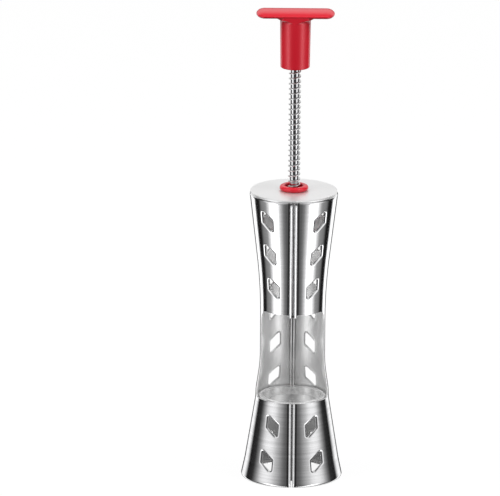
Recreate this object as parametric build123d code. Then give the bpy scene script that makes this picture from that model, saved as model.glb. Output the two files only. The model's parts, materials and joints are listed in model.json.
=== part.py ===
from build123d import *
import os
from math import cos, pi, radians, sin, sqrt

# A plunger cherry pitter, in millimetres. +Z is up, the origin is the centre of the base,
# the cherry window faces -Y and the handle's bar lies along X.

# Body outline: outer radii and heights, from the base up
base_radius = 21.9
flare_radius = 20.2
flare_height = 8.0
seat_radius = 15.75
seat_low = 35.5
seat_high = 38.5
waist_radius = 14.0
waist_low = 50.5
waist_high = 84.0
top_radius = 19.05
shell_height = 126.4
base_bend = 1.1
flare_bend = 40.0
seat_bend = 17.0
waist_low_bend = 60.0
waist_high_bend = 230.0
top_bend = 0.9
wall = 0.6
base_lip = 2.6
top_lip = 2.2

# Seams
seam_gap = 0.7
seam_lip = 0.9
lip_setback = 0.06
seam_end_gap = 0.3
strip_width = 2.6
strip_thickness = 0.5
strip_bead = 0.5
strip_bead_offset = 0.6
strip_base_gap = 3.0
strip_window_gap = 1.2
strip_top_gap = 2.4

# Window and seat
window_bottom = 36.0
window_top = 74.9
window_half_angle = 75.0
window_top_corner = 6.0
window_bottom_corner = 1.2
lip_overhang = 1.0

# Diamond holes: rows from the top, with each column's angle from its seam
hole_top_row = 116.7
hole_pitch = 15.17
hole_angles = (40.0, 39.5, 35.5, 35.0, 35.0, 33.0, 29.5, 33.5)
hole_width = 5.2
hole_side = 5.3
hole_drop = 3.5
hole_corner = 0.5

# Cherry cup and what holds it
cup_wall = 0.6
cup_rim = 1.1
cup_rim_radius = 14.5
cup_neck_radius = 12.9
cup_floor_depth = 3.6
cup_floor_slope = 1.2
pit_hole_radius = 5.0
pit_collar = 2.2
ring_flange = 0.6
ring_band = 4.5
snap_wire = 0.9

# Lid
lid_thickness = 0.8
lid_step = 0.35
lid_edge = 0.35
skirt_depth = 3.0
skirt_wall = 0.6

# Guide bush
flange_radius = 6.2
flange_thickness = 2.2
flange_mouth = 3.8
bush_radius = 4.7
bush_length = 12.9
guide_length = 5.5
nut_flats = 13.0
nut_thickness = 4.0
nut_crown = 0.8
nut_crown_width = 1.3
washer_radius = 8.0
washer_thickness = 0.8

# Rod, punch and stop
rod_radius = 1.9
rod_thread_radius = 1.6
punch_bottom = 70.3
punch_length = 8.0
punch_radius = 1.95
punch_hollow = 1.25
punch_hollow_depth = 2.2
punch_edge = 0.35
spigot_radius = 1.2
spigot_length = 4.5
clip_radius = 3.7
clip_thickness = 0.6
clip_slot = 2.4
groove_radius = 1.5
bumper_radius = 3.7
bumper_thickness = 1.2

# Handle
bar_length = 33.6
bar_depth = 13.6
bar_thickness = 3.2
bar_end = 3.6
bar_height = 205.6
stem_length = 22.1
stem_top_radius = 6.6
stem_bottom_radius = 6.3
stem_edge = 0.4
stem_fillet = 1.8
socket_depth = 15.2
insert_radius = 3.6
insert_collar_radius = 4.0
insert_collar = 1.2
insert_length = 5.0

# Return spring
wire = 0.6
coil_radius = 2.42
coil_pitch = 2.2
tang_bend = 0.9
seat_washer = 0.6

# Clearances
seat_gap = 0.02
running_gap = 0.05
loose_gap = 0.3
pocket_gap = 0.38

half_turn = 180  # degrees


def cylinder(radius, low, high):
    return Pos(0, 0, low) * extrude(Circle(radius), high - low)


def tube(outer, inner, low, high):
    return cylinder(outer, low, high) - cylinder(inner, low, high)


def revolved(*curves):
    """Turn a closed outline of curves in (radius, height) round Z."""
    edges = [edge for curve in curves for edge in curve.edges()]
    return revolve(Plane.XZ * make_face(edges), Axis.Z)


# Body outline

outline_corners = [
    (base_radius, 0),
    (flare_radius, flare_height),
    (seat_radius, seat_low),
    (seat_radius, seat_high),
    (waist_radius, waist_low),
    (waist_radius, waist_high),
    (top_radius, shell_height),
]
outline_bends = [flare_bend, seat_bend, seat_bend, waist_low_bend, waist_high_bend]


def barrel(inset):
    """The solid inside the body's outline, drawn in by an inset all round."""
    core = -2 * wall
    line = FilletPolyline(
        (core, 0),
        *outline_corners,
        (core, shell_height),
        radius=[base_bend, *outline_bends, top_bend],
    )
    back = Line((core, shell_height), (core, 0))
    face = make_face([line, back])
    if inset:
        face = offset(face, -inset)
    half = Pos(base_radius, shell_height / 2) * Rectangle(2 * base_radius, 2 * shell_height)
    return revolve(Plane.XZ * (face & half), Axis.Z)


def seam_tube(side, across, inset, radius, low, high):
    """A round bead down the body's seam: side -1 is the front, across its X."""
    line = FilletPolyline(*[(r - inset, z) for r, z in outline_corners], radius=outline_bends)
    seam = Plane(origin=(across, 0, 0), x_dir=(0, side, 0), z_dir=(side, 0, 0))
    path = Wire((seam * line).edges())
    section = Plane(origin=path @ 0, z_dir=path % 0) * Circle(radius)
    clip = Pos(0, 0, (low + high) / 2) * Box(4 * base_radius, 4 * base_radius, high - low)
    return sweep(section, path) & clip


# Half shells

def window_cutter():
    reach = 2 * base_radius
    side = (reach * sin(radians(window_half_angle)), -reach * cos(radians(window_half_angle)))
    sector = Polygon((0, 0), (-side[0], side[1]), (-side[0], -2 * reach),
                     (side[0], -2 * reach), side, align=None)
    block = Pos(0, 0, window_bottom) * extrude(sector, window_top - window_bottom)
    block = fillet(radial_edges(block, reach, window_top), window_top_corner)
    return fillet(radial_edges(block, reach, window_bottom), window_bottom_corner)


def radial_edges(block, reach, height):
    """The straight edges of a given reach that lie at a height."""
    lines = block.edges().filter_by(GeomType.LINE)
    return [e for e in lines
            if abs(e.length - reach) < 0.01 and abs(e.center().Z - height) < 0.01]


def diamond(angle, height):
    """A prism for one slanting hole of the left half, at an angle round Z from -Y."""
    half = hole_width / 2
    rise = hole_drop / 2
    corners = [
        (-half, rise - hole_side / 2),
        (half, -rise - hole_side / 2),
        (half, hole_side / 2 - rise),
        (-half, hole_side / 2 + rise),
    ]
    shape = Polygon(*corners, align=None)
    shape = fillet(shape.vertices(), hole_corner)
    turn = radians(angle)
    out = (sin(turn), -cos(turn), 0)
    along = (cos(turn), sin(turn), 0)
    return Plane(origin=(0, 0, height), x_dir=along, z_dir=out) * extrude(shape, 2 * base_radius)


def hole_cutters():
    """All holes of the left half: a front and a back column."""
    cutters = []
    for row, angle in enumerate(hole_angles):
        height = hole_top_row - row * hole_pitch
        if not window_bottom < height < window_top:
            cutters.append(diamond(-angle, height))
        cutters.append(diamond(angle - half_turn, height))
    return cutters


def left_shell():
    reach = 2 * base_radius
    skin = barrel(0) - barrel(wall)
    skin = skin - cylinder(base_radius - base_lip, -1, 2 * wall)
    skin = skin - cylinder(top_radius - top_lip, shell_height - 2 * wall, shell_height + 1)
    block = Pos(-(reach + seam_gap) / 2, 0, shell_height / 2) * Box(
        reach, 2 * reach, shell_height + 2)
    shell = (skin & block) - window_cutter() - hole_cutters()
    across = -(seam_gap + seam_lip) / 2 - lip_setback
    lip_low = seam_end_gap
    lip_high = shell_height - top_bend
    bead = seam_lip / 2
    front_low = seam_tube(-1, across, 0, bead, lip_low, window_bottom)
    front_high = seam_tube(-1, across, 0, bead, window_top - lip_overhang, lip_high)
    back = seam_tube(1, across, 0, bead, lip_low, lip_high)
    return shell + front_low + front_high + back


def seam_strip(side, low, high, band):
    """A strip behind the seam groove, with two beads on its inner face."""
    strip = band & Pos(0, side * base_radius, (low + high) / 2) * Box(
        strip_width, 2 * base_radius, high - low)
    inset = wall + seat_gap + strip_thickness
    for across in (-strip_bead_offset, strip_bead_offset):
        strip = strip + seam_tube(side, across, inset, strip_bead / 2, low, high)
    return strip


def shells_and_strips():
    left = left_shell()
    right = mirror(left, about=Plane.YZ)
    inset = wall + seat_gap
    band = barrel(inset) - barrel(inset + strip_thickness)
    top = shell_height - strip_top_gap
    front_low = seam_strip(-1, strip_base_gap, ring_bottom - loose_gap, band)
    front_high = seam_strip(-1, window_top + strip_window_gap, top, band)
    back = seam_strip(1, strip_base_gap, top, band)
    return {
        "shell_left": left,
        "shell_right": right,
        "seam_strip_back": back,
        "seam_strip_front_upper": front_high,
        "seam_strip_front_lower": front_low,
    }


# Cherry cup

rim_centre = window_bottom - cup_rim / 2
flange_top = window_bottom - cup_rim
ring_bottom = flange_top - ring_band
floor_height = window_bottom - cup_floor_depth


def cherry_cup():
    rim = revolved(Pos(cup_rim_radius - cup_rim / 2, rim_centre) * Circle(cup_rim / 2))
    neck_in = cup_neck_radius - cup_wall
    hole_out = pit_hole_radius + cup_wall
    inner_floor = floor_height - cup_floor_slope
    collar_bottom = inner_floor - pit_collar
    web_top = rim_centre + cup_wall / 2
    dish = revolved(Polyline(
        (neck_in, web_top),
        (neck_in, floor_height),
        (pit_hole_radius, inner_floor),
        (pit_hole_radius, collar_bottom),
        (hole_out, collar_bottom),
        (hole_out, inner_floor - cup_wall),
        (cup_neck_radius, floor_height - cup_wall),
        (cup_neck_radius, web_top - cup_wall),
        (cup_rim_radius - cup_rim / 2, web_top - cup_wall),
        (cup_rim_radius - cup_rim / 2, web_top),
        (neck_in, web_top),
    ))
    return rim + dish


def cup_support_ring():
    """A band against the shells' inner cone, with a flange under the cup's rim."""
    inset = wall + seat_gap
    band = barrel(inset) - barrel(inset + ring_flange)
    band = band & tube(base_radius, waist_radius - wall, ring_bottom, flange_top)
    flange_low = flange_top - ring_flange
    flange = barrel(inset) & tube(base_radius, cup_neck_radius + seat_gap, flange_low, flange_top)
    notch = Pos(0, 0, (ring_bottom + flange_top) / 2) * Box(
        strip_width + 2 * loose_gap, 4 * base_radius, ring_band + 1)
    core = cylinder(cup_rim_radius - cup_rim / 2, ring_bottom - 1, flange_top + 1)
    return band + flange - (notch - core)


def cup_snap_ring():
    low = flange_top - ring_flange - seat_gap - snap_wire
    ring = revolved(Pos(cup_neck_radius + seat_gap + snap_wire / 2, low + snap_wire / 2)
                    * Circle(snap_wire / 2))
    opening = Pos(0, cup_neck_radius, low + snap_wire / 2) * Box(
        clip_slot, 4 * snap_wire, 2 * snap_wire)
    return ring - opening


# Lid and guide bush

lid_bottom = shell_height
lid_top = shell_height + lid_thickness
flange_height = lid_top + flange_thickness
bush_bottom = lid_top - bush_length
pocket_floor = bush_bottom + guide_length
pocket_radius = coil_radius + wire / 2 + pocket_gap
bush_hole = bush_radius + running_gap


def lid():
    skirt_out = top_radius - top_lip - seat_gap
    plate = cylinder(top_radius - lid_step, lid_bottom, lid_top)
    top_edge = plate.edges().filter_by(GeomType.CIRCLE).sort_by(Axis.Z)[-1]
    plate = fillet(top_edge, lid_edge)
    skirt = tube(skirt_out, skirt_out - skirt_wall, lid_bottom - skirt_depth, lid_bottom)
    return plate + skirt - cylinder(bush_hole, lid_bottom - 1, lid_top + 1)


def guide_bush():
    round_edge = flange_thickness / 2
    mouth_edge = round_edge / 2
    mouth_middle = mouth_edge * (1 - sqrt(0.5))
    ring = revolved(
        Line((flange_mouth, lid_top), (flange_radius - round_edge, lid_top)),
        ThreePointArc((flange_radius - round_edge, lid_top),
                      (flange_radius, lid_top + round_edge),
                      (flange_radius - round_edge, flange_height)),
        Line((flange_radius - round_edge, flange_height),
             (flange_mouth + mouth_edge, flange_height)),
        ThreePointArc((flange_mouth + mouth_edge, flange_height),
                      (flange_mouth + mouth_middle, flange_height - mouth_middle),
                      (flange_mouth, flange_height - mouth_edge)),
        Line((flange_mouth, flange_height - mouth_edge), (flange_mouth, lid_top)),
    )
    body = cylinder(bush_radius, bush_bottom, lid_top)
    pocket = cylinder(pocket_radius, pocket_floor, flange_height)
    cone = revolved(Polyline(
        (0, lid_top + seat_gap),
        (flange_mouth, lid_top + seat_gap),
        (pocket_radius, lid_top - (flange_mouth - pocket_radius)),
        (0, lid_top - (flange_mouth - pocket_radius)),
        (0, lid_top + seat_gap),
    ))
    bore = cylinder(rod_radius + running_gap, bush_bottom - 1, pocket_floor + 1)
    return ring + body - pocket - cone - bore


washer_bottom = lid_bottom - washer_thickness
nut_bottom = washer_bottom - nut_thickness


def bush_washer():
    return tube(washer_radius, bush_hole, washer_bottom, lid_bottom)


def bush_nut():
    hexagon = RegularPolygon(nut_flats / 2, 6, major_radius=False)
    nut = Pos(0, 0, nut_bottom) * extrude(hexagon, nut_thickness)
    beyond_corners = nut_flats / 2 + nut_crown_width
    crown = revolved(Polyline(
        (0, nut_bottom),
        (nut_flats / 2, nut_bottom),
        (beyond_corners, nut_bottom + nut_crown),
        (beyond_corners, washer_bottom),
        (0, washer_bottom),
        (0, nut_bottom),
    ))
    return (nut & crown) - cylinder(bush_hole, nut_bottom - 1, washer_bottom + 1)


# Spring seats and spring

seat_outer = pocket_radius - seat_gap
seat_inner = rod_radius + running_gap + seat_gap
spring_bottom = pocket_floor + seat_washer
stem_top = bar_height - bar_thickness / 2
stem_bottom = stem_top - stem_length
upper_seat_top = stem_bottom + socket_depth
spring_top = upper_seat_top - seat_washer


def lower_spring_seat():
    return tube(seat_outer, seat_inner, pocket_floor, spring_bottom)


def upper_spring_seat():
    return tube(seat_outer, seat_inner, spring_top, upper_seat_top)


def helix_point(turn, low, pitch):
    angle = 2 * pi * turn
    return Vector(coil_radius * cos(angle), coil_radius * sin(angle), low + pitch * turn)


def helix_tangent(turn, pitch):
    angle = 2 * pi * turn
    rise = pitch / (2 * pi)
    return Vector(-coil_radius * sin(angle), coil_radius * cos(angle), rise).normalized()


def biarc(start, start_way, end, end_way):
    """Two arcs that join two points smoothly, each leaving along its own tangent."""
    span = end - start
    both = start_way + end_way
    a = 4 - both.dot(both)
    b = 2 * span.dot(both)
    reach = (-b + sqrt(b * b + 4 * a * span.dot(span))) / (2 * a)
    middle = (start + start_way * reach + end - end_way * reach) / 2
    way = (end - start - both * reach).normalized()
    return [TangentArc(start, middle, tangent=start_way), TangentArc(middle, end, tangent=way)]


def flat(way):
    return Vector(way.X, way.Y, 0).normalized()


def return_spring():
    """One unbroken wire: a tang on each seat and half-turn biarcs between them."""
    tang = wire + tang_bend
    low = spring_bottom + tang
    rise = spring_top - tang - low
    turns = round(2 * rise / coil_pitch) / 2
    pitch = rise / turns
    halves = int(2 * turns)
    points = [helix_point(i / 2, low, pitch) for i in range(halves + 1)]
    ways = [helix_tangent(i / 2, pitch) for i in range(halves + 1)]
    up = Vector(0, 0, 1)
    first_bend = points[0] - flat(ways[0]) * tang_bend - up * tang_bend
    last_bend = points[-1] + flat(ways[-1]) * tang_bend + up * tang_bend
    foot = Vector(first_bend.X, first_bend.Y, spring_bottom)
    head = Vector(last_bend.X, last_bend.Y, spring_top)
    edges = [Line(foot, first_bend)]
    edges += biarc(first_bend, up, points[0], ways[0])
    for i in range(halves):
        edges += biarc(points[i], ways[i], points[i + 1], ways[i + 1])
    edges += biarc(points[-1], ways[-1], last_bend, up)
    edges.append(Line(last_bend, head))
    path = Wire([e for curve in edges for e in curve.edges()])
    section = Plane(origin=foot, z_dir=up) * Circle(wire / 2)
    gap = least_gap(path, halves)
    print("spring curls", turns, "pitch", round(pitch, 3), "least gap to itself", round(gap, 3))
    return sweep(section, path)


def least_gap(path, halves):
    """The wire's least distance to itself, measured on points a quarter turn and more apart."""
    count = 12 * halves
    points = [path @ (i / count) for i in range(count + 1)]
    apart = count // halves
    nearest = min((points[j] - points[i]).length
                  for i in range(count + 1)
                  for j in range(i + apart, min(i + 3 * apart, count + 1)))
    return nearest - wire


# Plunger

bumper_top = bush_bottom - loose_gap
clip_top = bumper_top - bumper_thickness
clip_bottom = clip_top - clip_thickness
punch_top = punch_bottom + punch_length
insert_bottom = upper_seat_top + seat_gap
insert_top = insert_bottom + insert_length
collar_low = insert_bottom + (insert_length - insert_collar) / 2
collar_high = collar_low + insert_collar


def plunger_rod():
    shaft = cylinder(rod_radius, punch_top, insert_bottom)
    spigot = cylinder(spigot_radius, punch_top - spigot_length, punch_top)
    thread = cylinder(rod_thread_radius, insert_bottom, insert_top - loose_gap)
    groove = tube(2 * rod_radius, groove_radius, clip_bottom - seat_gap, clip_top + seat_gap)
    return shaft + spigot + thread - groove


def punch():
    body = cylinder(punch_radius, punch_bottom, punch_top)
    low_edge = body.edges().filter_by(GeomType.CIRCLE).sort_by(Axis.Z)[0]
    body = chamfer(low_edge, punch_edge)
    hollow = cylinder(punch_hollow, punch_bottom - 1, punch_bottom + punch_hollow_depth)
    socket = cylinder(spigot_radius + seat_gap, punch_top - spigot_length - seat_gap, punch_top + 1)
    return body - hollow - socket


def stop_clip():
    ring = tube(clip_radius, groove_radius + seat_gap, clip_bottom, clip_top)
    slot = Pos(0, clip_radius, (clip_bottom + clip_top) / 2) * Box(
        clip_slot, 2 * clip_radius, 2 * clip_thickness)
    return ring - slot


def stop_bumper():
    return tube(bumper_radius, rod_radius + seat_gap, clip_top + seat_gap, bumper_top)


def handle_bar():
    """An oval bar along X: an elliptic middle with a short blunt dome on each end."""
    half_depth = bar_depth / 2
    half_thick = bar_thickness / 2
    straight = bar_length / 2 - bar_end
    arc = EllipticalCenterArc((0, 0), half_depth, half_thick, start_angle=-90, arc_size=half_turn)
    half_oval = make_face([arc, Line((0, half_thick), (0, -half_thick))])
    across = Plane(origin=(-straight, 0, bar_height), x_dir=(0, 1, 0), z_dir=(1, 0, 0))
    bar = across * extrude(Ellipse(half_depth, half_thick), 2 * straight)
    for side in (-1, 1):
        start = Plane(origin=(0, 0, 0), x_dir=(0, -side, 0), z_dir=(-side, 0, 0))
        dome = revolve(start * half_oval, Axis.Z, half_turn)
        dome = scale(dome, by=(bar_end / half_depth, 1, 1))
        bar = bar + Pos(side * straight, 0, bar_height) * dome
    return bar


def handle():
    stem_line = [
        (0, bar_height),
        (stem_top_radius + stem_fillet, bar_height),
        (stem_top_radius + stem_fillet, stem_top),
        (stem_top_radius, stem_top - stem_fillet),
        (stem_bottom_radius, stem_bottom + stem_edge),
        (stem_bottom_radius - stem_edge, stem_bottom),
        (0, stem_bottom),
        (0, bar_height),
    ]
    fillet_middle = stem_fillet * (1 - sqrt(0.5))
    edge_middle = stem_edge * (1 - sqrt(0.5))
    stem = revolved(
        Line(stem_line[0], stem_line[1]),
        Line(stem_line[1], stem_line[2]),
        ThreePointArc(stem_line[2],
                      (stem_top_radius + fillet_middle, stem_top - fillet_middle),
                      stem_line[3]),
        Line(stem_line[3], stem_line[4]),
        ThreePointArc(stem_line[4],
                      (stem_bottom_radius - edge_middle, stem_bottom + edge_middle),
                      stem_line[5]),
        Line(stem_line[5], stem_line[6]),
        Line(stem_line[6], stem_line[7]),
    )
    footprint = Pos(0, 0, bar_height) * Box(
        bar_length, 2 * stem_top_radius, 4 * (bar_height - stem_bottom))
    socket = cylinder(pocket_radius, stem_bottom - 1, upper_seat_top)
    insert_hole = cylinder(insert_radius + seat_gap, upper_seat_top, insert_top)
    collar_hole = cylinder(insert_collar_radius + seat_gap, collar_low, collar_high)
    return handle_bar() + (stem & footprint) - socket - insert_hole - collar_hole


def handle_insert():
    body = cylinder(insert_radius, insert_bottom, insert_top - seat_gap)
    collar = cylinder(insert_collar_radius, collar_low + seat_gap, collar_high - seat_gap)
    return body + collar - cylinder(rod_thread_radius + seat_gap, insert_bottom - 1, insert_top)


parts = {
    **shells_and_strips(),
    "lid": lid(),
    "guide_bush": guide_bush(),
    "bush_washer": bush_washer(),
    "bush_nut": bush_nut(),
    "lower_spring_seat": lower_spring_seat(),
    "return_spring": return_spring(),
    "upper_spring_seat": upper_spring_seat(),
    "plunger_rod": plunger_rod(),
    "punch": punch(),
    "stop_clip": stop_clip(),
    "stop_bumper": stop_bumper(),
    "handle": handle(),
    "handle_insert": handle_insert(),
    "cherry_cup": cherry_cup(),
    "cup_support_ring": cup_support_ring(),
    "cup_snap_ring": cup_snap_ring(),
}

os.makedirs("parts", exist_ok=True)
for name, shape in parts.items():
    export_step(shape, f"parts/{name}.step")
print("parts", len(parts))
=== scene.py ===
import json
import math

import bpy
import numpy as np
from mathutils import Matrix, Vector, geometry


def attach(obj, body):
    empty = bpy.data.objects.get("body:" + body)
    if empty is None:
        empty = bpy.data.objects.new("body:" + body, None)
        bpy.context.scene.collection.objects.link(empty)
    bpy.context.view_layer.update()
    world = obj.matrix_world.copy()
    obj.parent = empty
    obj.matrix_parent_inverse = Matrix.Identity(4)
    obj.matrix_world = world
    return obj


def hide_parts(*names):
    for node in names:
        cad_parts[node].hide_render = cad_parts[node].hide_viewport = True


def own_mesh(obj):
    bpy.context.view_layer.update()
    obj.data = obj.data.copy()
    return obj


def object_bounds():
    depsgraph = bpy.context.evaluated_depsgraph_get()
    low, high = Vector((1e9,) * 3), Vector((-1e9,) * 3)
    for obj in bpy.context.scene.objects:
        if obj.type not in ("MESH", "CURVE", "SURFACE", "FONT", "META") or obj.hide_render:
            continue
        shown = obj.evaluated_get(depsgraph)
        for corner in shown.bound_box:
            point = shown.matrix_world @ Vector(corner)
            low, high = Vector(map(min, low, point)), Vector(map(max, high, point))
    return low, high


# A plunger cherry pitter: what shows of it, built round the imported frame. Blender gets metres;
# the dictionaries of the shells, the lips, the ribs and the spring are in mm.

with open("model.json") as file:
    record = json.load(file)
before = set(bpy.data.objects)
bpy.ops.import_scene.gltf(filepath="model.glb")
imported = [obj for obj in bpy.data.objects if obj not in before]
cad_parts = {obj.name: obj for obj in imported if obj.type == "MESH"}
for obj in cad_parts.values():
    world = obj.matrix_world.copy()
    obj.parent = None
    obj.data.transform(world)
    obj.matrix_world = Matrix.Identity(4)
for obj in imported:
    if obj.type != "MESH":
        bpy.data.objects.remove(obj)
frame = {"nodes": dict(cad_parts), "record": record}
cadLow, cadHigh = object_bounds()
nodes = frame["nodes"]
mm = 0.001
print("frame loaded with", len(nodes), "nodes")


# Small helpers

def addObject(name, data):
    made = bpy.data.objects.new(name, data)
    bpy.context.scene.collection.objects.link(made)
    return made


def grey(value):
    return (value, value, value, 1)


def feed(tree, source, socket):
    # Another node's output is linked, and a plain value is set
    if isinstance(source, bpy.types.NodeSocket):
        tree.links.new(source, socket)
    else:
        socket.default_value = source


def addNode(tree, kind, inputs=None, **settings):
    made = tree.nodes.new(kind)
    for name, value in settings.items():
        setattr(made, name, value)
    for name, source in (inputs or {}).items():
        feed(tree, source, made.inputs[name])
    return made


def calculate(tree, operation, first, second=0.0):
    return addNode(tree, "ShaderNodeMath", {0: first, 1: second}, operation=operation).outputs[0]


def remap(tree, source, fromRange, toRange=(0, 1)):
    # One range onto another, held at its ends
    inputs = {"Value": source, "From Min": fromRange[0], "From Max": fromRange[1],
              "To Min": toRange[0], "To Max": toRange[1]}
    return addNode(tree, "ShaderNodeMapRange", inputs).outputs["Result"]


def mixNumber(tree, factor, first, second):
    return addNode(tree, "ShaderNodeMix", {0: factor, 2: first, 3: second}).outputs[0]


def mixColor(tree, factor, first, second, blend="MIX"):
    return addNode(tree, "ShaderNodeMix", {0: factor, 6: first, 7: second}, data_type="RGBA",
                   blend_type=blend).outputs[2]


def mixShader(tree, factor, first, second):
    return addNode(tree, "ShaderNodeMixShader", {0: factor, 1: first, 2: second}).outputs[0]


def addRamp(tree, source, stops):
    made = addNode(tree, "ShaderNodeValToRGB", {"Fac": source})
    ramp = made.color_ramp
    while len(ramp.elements) < len(stops):
        ramp.elements.new(0.5)        # anywhere: its place comes below
    for element, (place, value) in zip(ramp.elements, stops):
        element.position = place
        element.color = grey(value)
    return made.outputs["Color"]


# Camera

camera = {
    "elevation": 15.5,            # degrees above the horizon
    "roll": 0.5,                  # the tool leans a little to the right in the frame
    "lens": 1500,                 # mm, almost without perspective
    "sensor": 36,                 # mm wide
    "pixelSize": 0.43 * mm,       # what a pixel covers at the tool
    "frameWidth": 500,            # pixels
    "target": Vector((-18.67, 0, 101.1)) * mm,
}


def placeCamera(plan):
    made = bpy.data.cameras.new("camera")
    made.lens = plan["lens"]
    made.sensor_width = plan["sensor"]
    rise = math.radians(plan["elevation"])
    back = Vector((0, -math.cos(rise), math.sin(rise)))
    distance = plan["pixelSize"] * plan["frameWidth"] * plan["lens"] / plan["sensor"]
    turn = (-back).to_track_quat("-Z", "Y").to_matrix() @ Matrix.Rotation(
        math.radians(plan["roll"]), 3, "Z")
    shown = addObject("camera", made)
    shown.matrix_world = Matrix.Translation(plan["target"] + back * distance) @ turn.to_4x4()
    bpy.context.scene.camera = shown


placeCamera(camera)
print("camera placed")


# Studio: what the polished steel mirrors, the lamps and the floor

studio = {
    # Brightness that gloss sees, by degrees round from the camera's side: walls that lean out
    # or stand upright see the low bands, walls that lean back see the high ones
    "lowBands": [(0, 0.02), (5, 0.02), (8, 0.09), (22, 0.10), (30, 0.22), (38, 0.6), (44, 1.0),
                 (50, 2.6), (62, 2.6), (72, 1.0), (84, 0.3), (101, 0.2), (110, 0.01),
                 (127, 0.01), (134, 1.3), (152, 1.3), (160, 0.05), (180, 0.05)],
    "highBands": [(0, 0.02), (5, 0.04), (8, 0.07), (16, 0.11), (22, 0.18), (30, 0.36), (40, 0.58),
                  (50, 0.88), (60, 1.0), (70, 0.95), (78, 0.75), (86, 0.4), (94, 0.16),
                  (102, 0.03), (123, 0.01), (130, 0.6), (138, 1.1), (154, 1.1), (161, 0.05),
                  (180, 0.05)],
    "bandSplit": (-14.5, -10.5),  # degrees above the horizon between the low and high bands
    "frontTop": (64, 80),         # where the front bands give way to a white ceiling
    "backTop": (5, 9),            # where a white wall starts over the back bands
    "backEnd": (36, 46),          # and where it ends
    "backStart": (126, 136),      # degrees round
    "backWhite": 0.87,            # the wall's brightness
    "backCeiling": 0.25,          # what is over that wall
    "skyLight": 0.82,             # what the white surroundings give to plain surfaces
    "groundLight": 0.3,           # and what comes up from below
    "horizon": (-0.1, 0.1),       # sines of the heights between which they meet
    "lampWatts": 5.0,
    "lampSize": 0.5,
    "lampAzimuths": (-64, 64),    # degrees from the camera's side
    "lampHeight": 0.75,
    "lampDistance": 0.8,
    # Small lamps in the hollow body, place in mm and watts: the light that the walls hand on
    "fillLamps": [((0, 5, 98), 0.0055), ((0, 5, 17), 0.003), ((0, -2, 60), 0.003)],
    "fillSize": 2.5 * mm,
    "shadeRadius": 19.0 * mm,
    "shadeHeight": 0.2 * mm,
    "shadeGrey": 0.1,
    "shadeRoughness": 0.9,
    "shadeCorners": 48,
    "floorSize": 30,
    "floorWhite": 0.96,
    "floorGlow": 0.92,            # how much of the floor's white doesn't take a shadow
}


def mirroredTent(tree, plan, way, peak):
    # The bands, walls and ceiling that gloss sees, as a share of the brightest band
    ahead = calculate(tree, "MULTIPLY", way["Y"], -1.0)
    angle = calculate(tree, "ARCTAN2", calculate(tree, "ABSOLUTE", way["X"]), ahead)
    share = calculate(tree, "DIVIDE", angle, math.pi)

    def byHeight(limits):
        return remap(tree, way["Z"], [math.sin(math.radians(a)) for a in limits])

    low, high = [addRamp(tree, share, [(turn / 180, value / peak) for turn, value in plan[name]])
                 for name in ("lowBands", "highBands")]
    bands = mixNumber(tree, byHeight(plan["bandSplit"]), low, high)
    front = mixNumber(tree, byHeight(plan["frontTop"]), bands, 1 / peak)
    back = mixNumber(tree, byHeight(plan["backTop"]), bands, plan["backWhite"] / peak)
    back = mixNumber(tree, byHeight(plan["backEnd"]), back, plan["backCeiling"] / peak)
    return mixNumber(tree, remap(tree, share, [a / 180 for a in plan["backStart"]]), front, back)


def makeWorld(plan):
    world = bpy.data.worlds.new("studio")
    bpy.context.scene.world = world
    world.use_nodes = True
    tree = world.node_tree
    tree.nodes.clear()
    toward = addNode(tree, "ShaderNodeTexCoord").outputs["Generated"]
    way = addNode(tree, "ShaderNodeSeparateXYZ", {"Vector": toward}).outputs
    peak = max(value for name in ("lowBands", "highBands") for _, value in plan[name])
    light = remap(tree, way["Z"], plan["horizon"], (plan["groundLight"], plan["skyLight"]))

    def background(color, strength):
        made = addNode(tree, "ShaderNodeBackground", {"Color": color, "Strength": strength})
        return made.outputs[0]

    ray = addNode(tree, "ShaderNodeLightPath").outputs
    unseen = mixShader(tree, ray["Is Glossy Ray"], background(grey(1), light),
                       background(mirroredTent(tree, plan, way, peak), peak))
    clear = calculate(tree, "MAXIMUM", ray["Is Camera Ray"], ray["Is Transmission Ray"])
    surface = mixShader(tree, clear, unseen, background(grey(1), 1))
    addNode(tree, "ShaderNodeOutputWorld", {"Surface": surface})


def makeLamps(plan):
    for azimuth in plan["lampAzimuths"]:
        lamp = bpy.data.lights.new("softbox", "AREA")
        lamp.energy = plan["lampWatts"]
        lamp.size = plan["lampSize"]
        held = addObject("softbox", lamp)
        turn = math.radians(azimuth)
        held.location = (plan["lampDistance"] * math.sin(turn),
                         -plan["lampDistance"] * math.cos(turn), plan["lampHeight"])
        aim = Vector((0, 0, (cadLow.z + cadHigh.z) / 2)) - held.location
        held.rotation_euler = aim.to_track_quat("-Z", "Y").to_euler()
        held.visible_glossy = False
    for place, watts in plan["fillLamps"]:
        lamp = bpy.data.lights.new("fill", "POINT")
        lamp.energy = watts
        lamp.shadow_soft_size = plan["fillSize"]
        held = addObject("fill", lamp)
        held.location = Vector(place) * mm
        held.visible_glossy = False
        held.visible_camera = False


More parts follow.
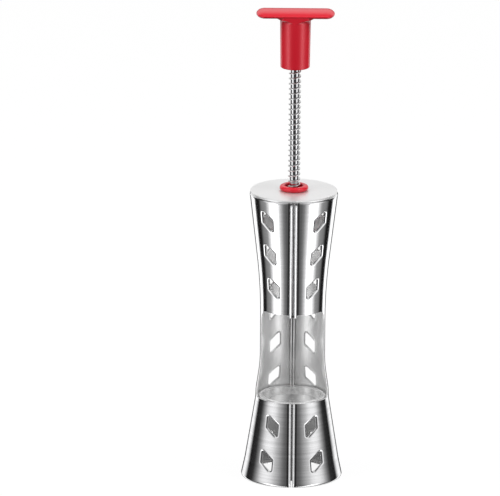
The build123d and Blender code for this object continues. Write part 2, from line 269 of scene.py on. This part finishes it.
def makeFloor(plan):
    half = plan["floorSize"] / 2
    mesh = bpy.data.meshes.new("floor")
    mesh.from_pydata([(-half, -half, 0), (half, -half, 0), (half, half, 0), (-half, half, 0)],
                     [], [(0, 1, 2, 3)])
    material = bpy.data.materials.new("paleFloor")
    material.use_nodes = True
    tree = material.node_tree
    tree.nodes.clear()
    matt = addNode(tree, "ShaderNodeBsdfDiffuse", {"Color": grey(plan["floorWhite"])})
    glow = addNode(tree, "ShaderNodeEmission", {"Color": grey(1), "Strength": 1})
    ray = addNode(tree, "ShaderNodeLightPath").outputs
    share = calculate(tree, "MULTIPLY", ray["Is Camera Ray"], plan["floorGlow"])
    surface = mixShader(tree, share, matt.outputs[0], glow.outputs[0])
    addNode(tree, "ShaderNodeOutputMaterial", {"Surface": surface})
    mesh.materials.append(material)
    floor = addObject("floor", mesh)
    floor.visible_glossy = False      # the steel mirrors the tent's bands instead
    floor.visible_diffuse = False     # and the ground light takes its place


def makeShade(plan):
    # A dark card on the table under the open base, so that the steel inside has dark to mirror
    radius, height = plan["shadeRadius"], plan["shadeHeight"]
    corners = [(radius * math.cos(a), radius * math.sin(a), height)
               for a in np.linspace(0, 2 * math.pi, plan["shadeCorners"], endpoint=False)]
    mesh = bpy.data.meshes.new("shade")
    mesh.from_pydata(corners, [], [tuple(range(len(corners)))])
    material = bpy.data.materials.new("darkCard")
    material.use_nodes = True
    card = material.node_tree.nodes["Principled BSDF"]
    card.inputs["Base Color"].default_value = grey(plan["shadeGrey"])
    card.inputs["Roughness"].default_value = plan["shadeRoughness"]
    mesh.materials.append(material)
    shade = addObject("shade", mesh)
    shade.visible_camera = False
    shade.visible_diffuse = False
    shade.visible_shadow = False


makeWorld(studio)
makeLamps(studio)
makeFloor(studio)
makeShade(studio)
bpy.context.scene.view_settings.view_transform = "Standard"
print("studio lit")


# Materials

brushing = {
    "length": 45 * mm,            # how long a brush mark runs round the body
    "fine": 0.22 * mm,            # how wide the finest marks are
    "coarse": 1.1 * mm,
    "depth": 0.004 * mm,
    "spread": (0.3, 0.7),         # the part of the noise that is used
    "tones": (0.8, 1.0),          # the darkest and the lightest mark
}

moulding = {
    "cloud": 60,                  # scale of the slow changes of tone
    "bump": 0.2,
    "depth": 0.01 * mm,
}

# Roughness is the range that the marks or the clouds run through. A fade is two heights and what
# is left of the streaks above them. A lip shade is painted shade, a pair of dark lines at the seam
# lips' feet: how far out they are at two heights, how far from their middle they clear, and how
# dark they are.
finishes = {
    "shell_steel": {"color": (0.92, 0.92, 0.93), "roughness": (0.10, 0.15), "streaks": 1.0,
                    "bump": 0.3, "anisotropic": 0.5, "fade": (42 * mm, 62 * mm, 0.35),
                    "inside": {"color": (0.97, 0.97, 0.97), "roughness": 0.36, "metallic": 0.8},
                    "lipShade": {"heights": (36 * mm, 75 * mm), "feet": (1.76 * mm, 2.1 * mm),
                             "reach": (0.5 / 3 * mm, 0.5 * mm), "dark": 0.25}},
    "lid_steel": {"color": (0.98, 0.98, 0.98), "roughness": (0.40, 0.46), "streaks": 0.3,
                  "bump": 0.1, "metallic": 0.75},
    "cup_steel": {"color": (0.98, 0.98, 0.98), "roughness": (0.16, 0.20), "streaks": 0.3,
                  "bump": 0.1, "metallic": 0.75},
    "inner_steel": {"color": (0.70, 0.70, 0.70), "roughness": (0.30, 0.40), "streaks": 0.6,
                    "bump": 0.2},
    "spring_steel": {"color": (0.94, 0.94, 0.94), "roughness": (0.28, 0.34), "streaks": 0.3},
    "rod_chrome": {"color": (0.50, 0.50, 0.51), "roughness": (0.03, 0.06), "streaks": 0.2},
    "insert_brass": {"color": (0.72, 0.52, 0.24), "roughness": (0.2, 0.3), "streaks": 1.0,
                     "bump": 0.1},
    "red_plastic": {"color": (0.57, 0.006, 0.018), "tint": (0.62, 0.010, 0.025),
                    "roughness": (0.26, 0.31), "grain": 0.35 * mm, "sheen": (1, 0.6, 0.65)},
    "bumper_rubber": {"color": (0.02, 0.02, 0.02), "tint": (0.04, 0.04, 0.04),
                      "roughness": (0.6, 0.75), "grain": 0.5 * mm, "sheen": (1, 1, 1)},
}


def startMaterial(name):
    made = bpy.data.materials.new(name)
    made.use_nodes = True
    tree = made.node_tree
    place = addNode(tree, "ShaderNodeTexCoord").outputs["Object"]
    return made, tree, tree.nodes["Principled BSDF"], place


def addNoise(tree, place, scale, detail=2, roughness=0.5):
    inputs = {"Vector": place, "Scale": scale, "Detail": detail, "Roughness": roughness}
    return addNode(tree, "ShaderNodeTexNoise", inputs).outputs["Fac"]


def addBump(tree, shader, height, strength, depth):
    inputs = {"Height": height, "Strength": strength, "Distance": depth}
    bump = addNode(tree, "ShaderNodeBump", inputs)
    tree.links.new(bump.outputs["Normal"], shader.inputs["Normal"])


def brushMarks(tree, place, width):
    # Noise drawn out round the axis, as brush marks are
    across = 1 / brushing["length"]
    stretch = addNode(tree, "ShaderNodeMapping",
                      {"Vector": place, "Scale": (across, across, 1 / width)})
    return addNoise(tree, stretch.outputs["Vector"], 1, detail=3, roughness=0.6)


def paintedLipShade(tree, way, lipShade):
    # Painted shade: each seam lip's foot is a dark line, a little further out above the window
    foot = remap(tree, way["Z"], lipShade["heights"], lipShade["feet"])
    off = calculate(tree, "SUBTRACT", calculate(tree, "ABSOLUTE", way["X"]), foot)
    return remap(tree, calculate(tree, "ABSOLUTE", off), lipShade["reach"], (lipShade["dark"], 1))


def metal(slot, plan):
    made, tree, shader, place = startMaterial(slot)
    way = addNode(tree, "ShaderNodeSeparateXYZ", {"Vector": place}).outputs
    fine, coarse = [brushMarks(tree, place, brushing[name]) for name in ("fine", "coarse")]
    strength = plan["streaks"]
    if "fade" in plan:
        # The brush marks are strongest low down
        low, high, least = plan["fade"]
        strength = remap(tree, way["Z"], (low, high), (strength, least))
    tone = remap(tree, coarse, brushing["spread"], brushing["tones"])
    color = mixColor(tree, strength, (*plan["color"], 1), tone, "MULTIPLY")
    roughness = remap(tree, fine, brushing["spread"], plan["roughness"])
    metallic = plan.get("metallic", 1)
    # Painted shade at the feet of the seam lips
    if "lipShade" in plan:
        color = mixColor(tree, 1.0, color, paintedLipShade(tree, way, plan["lipShade"]), "MULTIPLY")
    if "inside" in plan:
        # The sheet's inner side and its cut edges are left satin
        satin = plan["inside"]
        inside = addNode(tree, "ShaderNodeAttribute", attribute_name="inside").outputs["Fac"]
        color = mixColor(tree, inside, color, (*satin["color"], 1))
        roughness = mixNumber(tree, inside, roughness, satin["roughness"])
        metallic = remap(tree, inside, (0, 1), (metallic, satin["metallic"]))
    for name, source in (("Base Color", color), ("Roughness", roughness), ("Metallic", metallic)):
        feed(tree, source, shader.inputs[name])
    if "anisotropic" in plan:
        # The gloss spreads up and down, across the marks
        shader.inputs["Anisotropic"].default_value = plan["anisotropic"]
        shader.inputs["Anisotropic Rotation"].default_value = 0.25
        around = addNode(tree, "ShaderNodeTangent", direction_type="RADIAL", axis="Z")
        tree.links.new(around.outputs["Tangent"], shader.inputs["Tangent"])
    if "bump" in plan:
        marks = calculate(tree, "MULTIPLY", fine, strength)
        addBump(tree, shader, marks, plan["bump"], brushing["depth"])
    return made


def moulded(slot, plan):
    # Satin plastic or rubber: a faint grain and slow changes of tone
    made, tree, shader, place = startMaterial(slot)
    cloud = addNoise(tree, place, moulding["cloud"])
    tone = mixColor(tree, cloud, (*plan["color"], 1), (*plan["tint"], 1))
    tree.links.new(tone, shader.inputs["Base Color"])
    tree.links.new(remap(tree, cloud, (0, 1), plan["roughness"]), shader.inputs["Roughness"])
    addBump(tree, shader, addNoise(tree, place, 1 / plan["grain"]), moulding["bump"],
            moulding["depth"])
    shader.inputs["Specular IOR Level"].default_value = 1.0
    shader.inputs["Specular Tint"].default_value = (*plan["sheen"], 1)
    return made


materials = {}
for slotName, finish in finishes.items():
    build = metal if "streaks" in finish else moulded
    materials[slotName] = build(slotName, finish)
for row in frame["record"]["subparts"]:
    shown = nodes[row["node"]]
    shown.data.materials.clear()
    shown.data.materials.append(materials[row["material_slot"]])
print("materials made:", ", ".join(materials))


# Shells: two pressed halves with slanted holes and the window, made flat and then rolled up

shell = {
    "corners": [(19.3, 0), (21.9, 0), (20.2, 8), (15.75, 35.5), (15.75, 38.5), (14, 50.5),
                (14, 84), (19.05, 126.4), (16.85, 126.4)],   # radius and height, mm
    "bends": [1.1, 40, 17, 17, 60, 230, 0.9],                # at the inner corners, mm
    "wall": 0.6,
    "seamGap": 0.7,               # between the halves
    "edge": 0.15,                 # rounding of the halves' cut edges
    "rimBend": 1.2,               # round the holes the sheet is bent inward, radius in mm
    "rimTurn": 60,                # degrees
    "rimSteps": 6,
    "rimEdge": 0.08,              # rounding of the bent rims' cut edges
    "windowLow": 36.0,
    "windowHigh": 74.9,
    "windowAngle": 75,            # degrees from the front seam to its side edges
    "windowHighCorner": 6.0,
    "windowLowCorner": 1.2,
    "holeTop": 116.7,             # the highest row's middle
    "holePitch": 15.17,           # from row to row
    "holeAngles": (40, 39.5, 35.5, 35, 35, 33, 29.5, 33.5),   # degrees from a seam, row by row
    "holeWidth": 5.2,
    "holeSide": 5.3,              # height of the upright sides
    "holeDrop": 3.5,              # how much lower the side towards the front sits
    "holeCorner": 0.5,
    "columns": 76,                # grid steps round a half
    "rowStep": 1.1,               # about, from row to row of the grid
    "bendStep": 7,                # degrees of a bend between two rows, or less
    "holeStep": 0.7,              # about, between the points of a hole's edge
    "gridMargin": 0.3,            # between the grid's points and an edge
}
middleRadius = 16.0               # turns an angle into a width where the pattern is laid out


def turned(arm, angle):
    sine, cosine = math.sin(angle), math.cos(angle)
    return Vector((arm.x * cosine - arm.y * sine, arm.x * sine + arm.y * cosine))


def bendAt(before, corner, after, bend):
    # A corner's turn, where its rounding starts and ends, and the outward side at the start
    way1, way2 = (corner - before).normalized(), (after - corner).normalized()
    turn = math.atan2(way1.x * way2.y - way1.y * way2.x, way1.dot(way2))
    reach = bend * math.tan(abs(turn) / 2)
    return turn, corner - way1 * reach, corner + way2 * reach, Vector((way1.y, -way1.x))


def roundBend(start, outward, turn, bend, steps):
    # Places round a bend, its start among them, and the outward normals there
    hand = 1 if turn > 0 else -1      # a left turn has its centre on the inner side
    centre = start - outward * bend * hand
    normals = [turned(outward, turn * i / steps) for i in range(steps + 1)]
    return [centre + normal * bend * hand for normal in normals], normals


def roundedPath(corners, bends, runStep, bendStep):
    # Points down a line with rounded corners, and the outward normal at each
    points = [Vector(c) for c in corners]
    spots, normals = [], []

    def addRun(start, end):
        count = max(1, round((end - start).length / runStep))
        way = (end - start).normalized()
        for i in range(count + 1):
            spots.append(start.lerp(end, i / count))
            normals.append(Vector((way.y, -way.x)))

    cursor = points[0]
    for before, corner, after, bend in zip(points, points[1:], points[2:], bends):
        turn, start, end, outward = bendAt(before, corner, after, bend)
        addRun(cursor, start)
        steps = max(2, round(abs(math.degrees(turn)) / bendStep),
                    round(abs(turn) * bend / runStep))
        places, facing = roundBend(start, outward, turn, bend, steps)
        spots += places[1:]
        normals += facing[1:]
        cursor = end
    addRun(cursor, points[-1])
    apart = 0.02                      # mm, nearer spots than this are one
    kept = [0]
    for i in range(1, len(spots)):
        if (spots[i] - spots[kept[-1]]).length > apart:
            kept.append(i)
    return np.array([spots[i] for i in kept]), np.array([normals[i] for i in kept])


def roundedOutline(corners, bends, step):
    # A closed outline with rounded corners, its long sides divided
    points = []
    for i, bend in enumerate(bends):
        before, corner, after = (Vector(corners[(i + k) % len(corners)]) for k in (-1, 0, 1))
        if bend:
            turn, start, _, outward = bendAt(before, corner, after, bend)
            steps = max(3, round(abs(turn) * bend / step))
            points += roundBend(start, outward, turn, bend, steps)[0]
        else:
            points.append(corner)
    divided = []
    for i, point in enumerate(points):
        after = points[(i + 1) % len(points)]
        pieces = max(1, round((after - point).length / step))
        divided += [point.lerp(after, k / pieces) for k in range(pieces)]
    return np.array(divided)


profile, profileNormal = roundedPath(shell["corners"], shell["bends"], shell["rowStep"],
                                     shell["bendStep"])
profileLength = np.concatenate(([0], np.cumsum(np.linalg.norm(np.diff(profile, axis=0), axis=1))))
seamHalf = shell["seamGap"] / 2
shellTop = shell["corners"][-1][1]


def atLength(length):
    radius = np.interp(length, profileLength, profile[:, 0])
    height = np.interp(length, profileLength, profile[:, 1])
    normal = np.stack([np.interp(length, profileLength, profileNormal[:, k]) for k in (0, 1)], -1)
    return radius, height, normal / np.linalg.norm(normal, axis=-1, keepdims=True)


def lengthAt(height):
    level = 0.001                     # mm, the base's and the top's level runs are left out
    upright = (profile[:, 1] > level) & (profile[:, 1] < shellTop - level)
    return np.interp(height, profile[upright, 1], profileLength[upright])


def layOut(angle, height):
    # From an angle off the front seam and a height to the flat pattern
    length = lengthAt(height)
    radius = atLength(length)[0]
    start = np.arcsin(seamHalf / radius)
    return np.stack([(angle - start) / (math.pi - 2 * start) * math.pi * middleRadius, length], -1)


def rollUp(flat):
    # From the flat pattern to places, outward normals and the two directions of the sheet
    radius, height, normal = atLength(flat[:, 1])
    start = np.arcsin(seamHalf / radius)
    angle = start + flat[:, 0] / (math.pi * middleRadius) * (math.pi - 2 * start)
    sine, cosine = np.sin(angle), np.cos(angle)
    places = np.stack([radius * sine, -radius * cosine, height], -1)
    outward = np.stack([normal[:, 0] * sine, -normal[:, 0] * cosine, normal[:, 1]], -1)
    around = np.stack([cosine, sine, 0 * sine], -1)
    return places, outward, around, np.cross(outward, around)


def holeOutline(angle, height):
    # Runs clockwise, against the half's own outline, so that the rim's faces look outward
    half, side, rise = shell["holeWidth"] / 2, shell["holeSide"] / 2, shell["holeDrop"] / 2
    corners = [(-half, -rise - side), (half, rise - side), (half, rise + side),
               (-half, side - rise)]
    outline = roundedOutline(corners, [shell["holeCorner"]] * 4, shell["holeStep"])
    heights = height + outline[:, 1]
    radius = atLength(lengthAt(heights))[0]
    return layOut(math.radians(angle) + np.arcsin(outline[:, 0] / radius), heights)[::-1]


def halfOutline():
    # The edge of a half: up the back seam and down the front, with the window cut into it
    width, tall = math.pi * middleRadius, profileLength[-1]
    low, high = lengthAt(shell["windowLow"]), lengthAt(shell["windowHigh"])
    edge = layOut(np.array([math.radians(shell["windowAngle"])] * 2),
                  np.array([shell["windowLow"], shell["windowHigh"]]))[:, 0]
    corners = [(0, 0), (width, 0), (width, tall), (0, tall), (0, high), (edge[1], high),
               (edge[0], low), (0, low)]
    bends = [0, 0, 0, 0, 0, shell["windowHighCorner"], shell["windowLowCorner"], 0]
    return roundedOutline(corners, bends, shell["rowStep"])


def isInside(points, loops):
    inside = np.zeros(len(points), bool)
    for loop in loops:
        for (x1, y1), (x2, y2) in zip(loop, np.roll(loop, -1, axis=0)):
            if y1 != y2:
                crosses = (y1 > points[:, 1]) != (y2 > points[:, 1])
                at = x1 + (points[:, 1] - y1) / (y2 - y1) * (x2 - x1)
                inside ^= crosses & (points[:, 0] < at)
    return inside


def distanceTo(points, loops):
    nearest = np.full(len(points), np.inf)
    for loop in loops:
        for start, end in zip(loop, np.roll(loop, -1, axis=0)):
            way = end - start
            share = np.clip(((points - start) @ way) / (way @ way), 0, 1)
            gap = np.linalg.norm(points - start - share[:, None] * way, axis=1)
            nearest = np.minimum(nearest, gap)
    return nearest


def drawnIn(loop, amount, isHole):
    # The loop moved into the sheet by an amount, by its corners' bisectors
    before = loop - np.roll(loop, 1, axis=0)
    after = np.roll(loop, -1, axis=0) - loop
    before /= np.linalg.norm(before, axis=1, keepdims=True)
    after /= np.linalg.norm(after, axis=1, keepdims=True)
    left1 = np.stack([-before[:, 1], before[:, 0]], -1)
    left2 = np.stack([-after[:, 1], after[:, 0]], -1)
    bisector = left1 + left2
    bisector /= (bisector * left1).sum(1, keepdims=True)
    area = (loop[:, 0] * np.roll(loop[:, 1], -1) - np.roll(loop[:, 0], -1) * loop[:, 1]).sum()
    inward = 1 if (area > 0) != isHole else -1
    return loop + bisector * amount * inward


def cutRings():
    # How far a cut edge reaches, and rings down it: way out, depth and the normal's turn
    edge, wall, share = shell["edge"], shell["wall"], math.sqrt(0.5)
    return edge, [(edge * share, edge * (1 - share), 45), (edge, edge, 90),
                  (edge, wall - edge, 90), (edge * share, wall - edge * (1 - share), 135)]


def bentRings():
    # The same for a rim bent inward: over the outer skin, across the cut and back inside
    bend, wall, last, edge = (shell[name] for name in ("rimBend", "wall", "rimTurn", "rimEdge"))
    turns = [last * (k + 1) / shell["rimSteps"] for k in range(shell["rimSteps"])]
    steps = ([(turn, 0, turn) for turn in turns]
             + [(last, edge, last + 90), (last, wall - edge, last + 90)]
             + [(turn, wall, turn + 180) for turn in reversed(turns)])
    rings = []
    for turn, depth, facing in steps:
        sine, cosine = math.sin(math.radians(turn)), math.cos(math.radians(turn))
        rings.append(((bend - depth) * sine, bend - (bend - depth) * cosine, facing))
    return bend * math.sin(math.radians(last)), rings


def patternOfHalf():
    # The half's flat pattern: points, triangles and each rim loop with its true edge and rings
    loops = [halfOutline()]
    for row, angle in enumerate(shell["holeAngles"]):
        height = shell["holeTop"] - row * shell["holePitch"]
        if not shell["windowLow"] < height < shell["windowHigh"]:
            loops.append(holeOutline(angle, height))
        loops.append(holeOutline(180 - angle, height))
    rings = [cutRings()] + [bentRings()] * (len(loops) - 1)
    rims = [drawnIn(loop, rings[i][0], i > 0) for i, loop in enumerate(loops)]
    columns = np.linspace(0, math.pi * middleRadius, shell["columns"] + 1)[1:-1]
    rows = profileLength[1:-1]
    grid = np.stack(np.meshgrid(columns, rows), -1).reshape(-1, 2)
    grid = grid[isInside(grid, rims) & (distanceTo(grid, rims) > shell["gridMargin"])]
    points = [Vector(p) for p in grid]
    edges = []
    for rim in rims:
        first = len(points)
        points += [Vector(p) for p in rim]
        edges += [(first + i, first + (i + 1) % len(rim)) for i in range(len(rim))]
    made = geometry.delaunay_2d_cdt(points, edges, [], 0, 1e-6)
    places, triangles, sources = made[0], made[2], made[3]
    flat = np.array(places)
    faces = np.array(triangles)
    faces = faces[isInside(flat[faces].mean(axis=1), rims)]
    found = {old: new for new, olds in enumerate(sources) for old in olds}
    loopRows, first = [], len(grid)
    for rim, loop, steps in zip(rims, loops, rings):
        loopRows.append((np.array([found[first + i] for i in range(len(rim))]), loop, steps))
        first += len(rim)
    return flat, faces, loopRows


def shellMesh(name, mirrored, pattern):
    # The pattern's two skins, joined by the rings of every edge
    flat, faces, loopRows = pattern
    wall = shell["wall"]
    places, outward, _, _ = rollUp(flat)
    count = len(places)
    allPlaces = [places, places - outward * wall]
    allNormals = [outward, -outward]
    inside = [np.zeros(count), np.ones(count)]
    allFaces = [tuple(f) for f in faces] + [tuple(f[::-1] + count) for f in faces]
    total = 2 * count
    for rim, loop, (width, steps) in loopRows:
        size = len(rim)
        toEdge = loop - flat[rim]
        side = toEdge / np.linalg.norm(toEdge, axis=1, keepdims=True)
        rings = [rim]
        for reach, depth, turn in steps:
            spots, out, around, along = rollUp(flat[rim] + toEdge * reach / width)
            sideways = around * side[:, :1] + along * side[:, 1:]
            facing = math.radians(turn)
            allPlaces.append(spots - out * depth)
            allNormals.append(out * math.cos(facing) + sideways * math.sin(facing))
            inside.append(np.full(size, float(turn >= 90)))
            rings.append(np.arange(total, total + size))
            total += size
        rings.append(rim + count)
        for upper, lower in zip(rings, rings[1:]):
            for i in range(size):
                k = (i + 1) % size
                allFaces.append((upper[i], lower[i], lower[k], upper[k]))
    places = np.concatenate(allPlaces) * mm
    normals = np.concatenate(allNormals)
    if mirrored:
        places[:, 0] *= -1
        normals[:, 0] *= -1
        allFaces = [f[::-1] for f in allFaces]
    mesh = bpy.data.meshes.new(name)
    mesh.from_pydata(places.tolist(), [], [[int(i) for i in f] for f in allFaces])
    mesh.update()
    mesh.shade_smooth()
    mesh.normals_split_custom_set_from_vertices(normals.tolist())
    mark = mesh.attributes.new("inside", "FLOAT", "POINT")
    mark.data.foreach_set("value", np.concatenate(inside).astype(np.float32))
    return mesh


def showPiece(name, mesh, slot, body, replaced=()):
    mesh.materials.clear()
    mesh.materials.append(materials[slot])
    made = addObject(name, mesh)
    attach(made, body)
    if replaced:
        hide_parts(*replaced)
    return made


pattern = patternOfHalf()
for name, mirrored, node in (("leftShell", True, "shell_left"),
                             ("rightShell", False, "shell_right")):
    showPiece(name, shellMesh(name, mirrored, pattern), "shell_steel", "root", [node])
print("shells rolled up:", len(pattern[1]), "triangles a skin")


# Wires, rolled lips and ribs: trees that draw a section along a path

def ridgedSection(tree, radius, plan):
    # A square on its corner, flattened: two facets show, and meet in a narrow rounded crest
    square = addNode(tree, "GeometryNodeCurvePrimitiveCircle",
                     {"Resolution": 4, "Radius": radius})
    flat = addNode(tree, "GeometryNodeTransform",
                   {"Geometry": square.outputs["Curve"], "Scale": (plan["ridge"], 1, 1)})
    rounded = {"Curve": flat.outputs["Geometry"], "Count": plan["crestSteps"],
               "Radius": calculate(tree, "MULTIPLY", radius, plan["crest"])}
    return addNode(tree, "GeometryNodeFilletCurve", rounded, mode="POLY").outputs["Curve"]


def wireTree(name, plan):
    # Draws a wire, or a bead where the plan has a ridge, along a curve that the caller joins
    tree = bpy.data.node_groups.new(name, "GeometryNodeTree")
    tree.interface.new_socket("Geometry", in_out="INPUT", socket_type="NodeSocketGeometry")
    thick = tree.interface.new_socket("Wire radius", in_out="INPUT",
                                      socket_type="NodeSocketFloat")
    tree.interface.new_socket("Geometry", in_out="OUTPUT", socket_type="NodeSocketGeometry")
    given = addNode(tree, "NodeGroupInput")
    radius = given.outputs["Wire radius"]
    if "ridge" in plan:
        section = ridgedSection(tree, radius, plan)
    else:
        section = addNode(tree, "GeometryNodeCurvePrimitiveCircle",
                          {"Resolution": plan["sides"], "Radius": radius}).outputs["Curve"]
    drawn = addNode(tree, "GeometryNodeCurveToMesh",
                    {"Profile Curve": section, "Fill Caps": True})
    smooth = addNode(tree, "GeometryNodeSetShadeSmooth", {"Geometry": drawn.outputs["Mesh"]})
    whole = addNode(tree, "GeometryNodeRealizeInstances",
                    {"Geometry": smooth.outputs["Geometry"]})
    painted = addNode(tree, "GeometryNodeSetMaterial",
                      {"Geometry": whole.outputs["Geometry"],
                       "Material": materials[plan["slot"]]})
    addNode(tree, "NodeGroupOutput", {"Geometry": painted.outputs["Geometry"]})
    return tree, given, drawn, thick.identifier


def grow(name, mesh, tree, values):
    # Runs a tree on a mesh once and returns the plain mesh it makes
    maker = addObject(name, mesh)
    modifier = maker.modifiers.new("grow", "NODES")
    modifier.node_group = tree
    for identifier, value in values.items():
        modifier[identifier] = value
    made = bpy.data.meshes.new_from_object(
        maker.evaluated_get(bpy.context.evaluated_depsgraph_get()))
    bpy.data.objects.remove(maker)
    made.name = name
    return made


lips = {
    "slot": "shell_steel",
    "radius": 0.45,               # mm, the rolled edges of both shells
    "offset": 0.86,               # from the seam's middle
    "topRadius": 0.54,            # in front, above the window
    "topOffset": 1.06,
    "overhang": 1.0,              # how far those reach down past the window's edge
    "inset": 0,                   # from the shell's outside to the lips' foot
    "end": 0.3,                   # what they leave free at the base and under the turned-in top
    "ridge": 0.74,                # height as a share of the radius
    "crest": 0.16,                # rounding of the crest, as a share of the radius
    "crestSteps": 3,
    "step": 1.2,                  # from point to point up the path
}
ribs = {
    # The ribs take the cup's steel, glossier and lighter than the strip they are pressed from: the
    # lighter colour is a painted highlight
    "slot": "cup_steel",          # brighter than the strip itself
    "radius": 0.34,               # mm, on the strip that joins the shells at the back
    "offset": 0.6,
    "inset": 1.3,
    "low": 3.2,
    "high": 123.6,
    "ridge": 0.5,
    "crest": 0.16,
    "crestSteps": 3,
    "step": 1.2,
}


def beadTree(name, plan):
    # A wire tree that takes its path from a mesh's edges, the ridge along Y
    tree, given, drawn, thick = wireTree(name, plan)
    path = addNode(tree, "GeometryNodeMeshToCurve", {"Mesh": given.outputs["Geometry"]})
    facing = addNode(tree, "GeometryNodeSetCurveNormal",
                     {"Curve": path.outputs["Curve"], "Normal": (0, 1, 0)}, mode="FREE")
    tree.links.new(facing.outputs["Curve"], drawn.inputs["Curve"])
    return tree, thick


def seamBeads(name, plan, bead, radius, across, runs):
    # Beads up the seams: each run is the side it is on, -1 in front, and two heights
    tree, thick = bead
    spots, edges = [], []
    for side, low, high in runs:
        heights = np.append(np.arange(low, high, plan["step"]), high)
        reach = np.sqrt((atLength(lengthAt(heights))[0] - plan["inset"]) ** 2 - across ** 2)
        first = len(spots)
        spots += [(across * mm, side * r * mm, z * mm) for r, z in zip(reach, heights)]
        edges += [(i, i + 1) for i in range(first, len(spots) - 1)]
    mesh = bpy.data.meshes.new(name)
    mesh.from_pydata(spots, edges, [])
    showPiece(name, grow(name, mesh, tree, {thick: radius * mm}), plan["slot"], "root")


def seamLips():
    # The rolled edges of both shells, and inside them the pressed ribs of the back strip
    lipBead, ribBead = beadTree("seamLips", lips), beadTree("stripRibs", ribs)
    bottom, top = lips["end"], shellTop - lips["end"] - shell["wall"]
    lowRuns = [(-1, bottom, shell["windowLow"]), (1, bottom, top)]
    topRun = [(-1, shell["windowHigh"] - lips["overhang"], top)]
    ribRun = [(1, ribs["low"], ribs["high"])]
    for sign, side in ((-1, "left"), (1, "right")):
        seamBeads(side + "SeamLips", lips, lipBead, lips["radius"], sign * lips["offset"],
                  lowRuns)
        seamBeads(side + "TopSeamLip", lips, lipBead, lips["topRadius"],
                  sign * lips["topOffset"], topRun)
        seamBeads(side + "StripRib", ribs, ribBead, ribs["radius"], sign * ribs["offset"],
                  ribRun)


spring = {
    "slot": "spring_steel",
    "low": 120.4,                 # mm, the underside of the lowest turn
    "high": 196.5,
    "wire": 0.56,
    "coilRadius": 2.42,
    "turns": 35,
    "closedTurns": 1.25,          # laid flat at each end
    "stepsPerTurn": 24,
    "sides": 12,                  # of the wire's section
}


def springTree(plan):
    # The wire wound up: closed turns, working turns and closed turns again
    tree, given, drawn, thick = wireTree("returnSpring", plan)
    sockets = {"Wire radius": thick}
    for name in ("Low", "High", "Coil radius", "Turns", "Closed turns"):
        sockets[name] = tree.interface.new_socket(name, in_out="INPUT",
                                                  socket_type="NodeSocketFloat").identifier
    size = given.outputs
    line = addNode(tree, "GeometryNodeCurvePrimitiveLine")
    points = addNode(tree, "GeometryNodeResampleCurve",
                     {"Curve": line.outputs["Curve"],
                      "Count": round(plan["turns"] * plan["stepsPerTurn"]) + 1})
    along = addNode(tree, "GeometryNodeSplineParameter").outputs["Factor"]
    turns, closed = size["Turns"], size["Closed turns"]
    turn = calculate(tree, "MULTIPLY", along, turns)
    lastClosed = calculate(tree, "SUBTRACT", turns, closed)
    thickness = calculate(tree, "MULTIPLY", size["Wire radius"], 2.0)
    flat = calculate(tree, "MULTIPLY", closed, thickness)
    span = calculate(tree, "SUBTRACT", size["High"], size["Low"])
    working = calculate(tree, "SUBTRACT", calculate(tree, "SUBTRACT", span, thickness),
                        calculate(tree, "MULTIPLY", flat, 2.0))
    height = calculate(tree, "ADD", size["Low"], size["Wire radius"])
    for limits, climb in (((0.0, closed), flat), ((closed, lastClosed), working),
                          ((lastClosed, turns), flat)):
        height = calculate(tree, "ADD", height, remap(tree, turn, limits, (0.0, climb)))
    angle = calculate(tree, "MULTIPLY", turn, 2 * math.pi)
    x, y = [calculate(tree, "MULTIPLY", calculate(tree, wave, angle), size["Coil radius"])
            for wave in ("COSINE", "SINE")]
    place = addNode(tree, "ShaderNodeCombineXYZ", {"X": x, "Y": y, "Z": height})
    coiled = addNode(tree, "GeometryNodeSetPosition",
                     {"Geometry": points.outputs["Curve"], "Position": place.outputs["Vector"]})
    tree.links.new(coiled.outputs["Geometry"], drawn.inputs["Curve"])
    return tree, sockets


def returnSpring(plan):
    tree, sockets = springTree(plan)
    sizes = {"Wire radius": plan["wire"] / 2 * mm, "Low": plan["low"] * mm,
             "High": plan["high"] * mm, "Coil radius": plan["coilRadius"] * mm,
             "Turns": float(plan["turns"]), "Closed turns": plan["closedTurns"]}
    made = grow("returnSpringWire", bpy.data.meshes.new("seed"), tree,
                {sockets[name]: size for name, size in sizes.items()})
    wire = showPiece("returnSpringWire", made, plan["slot"], "root", ["return_spring"])
    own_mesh(wire)


seamLips()
print("seam lips rolled")
returnSpring(spring)
print("return spring coiled")
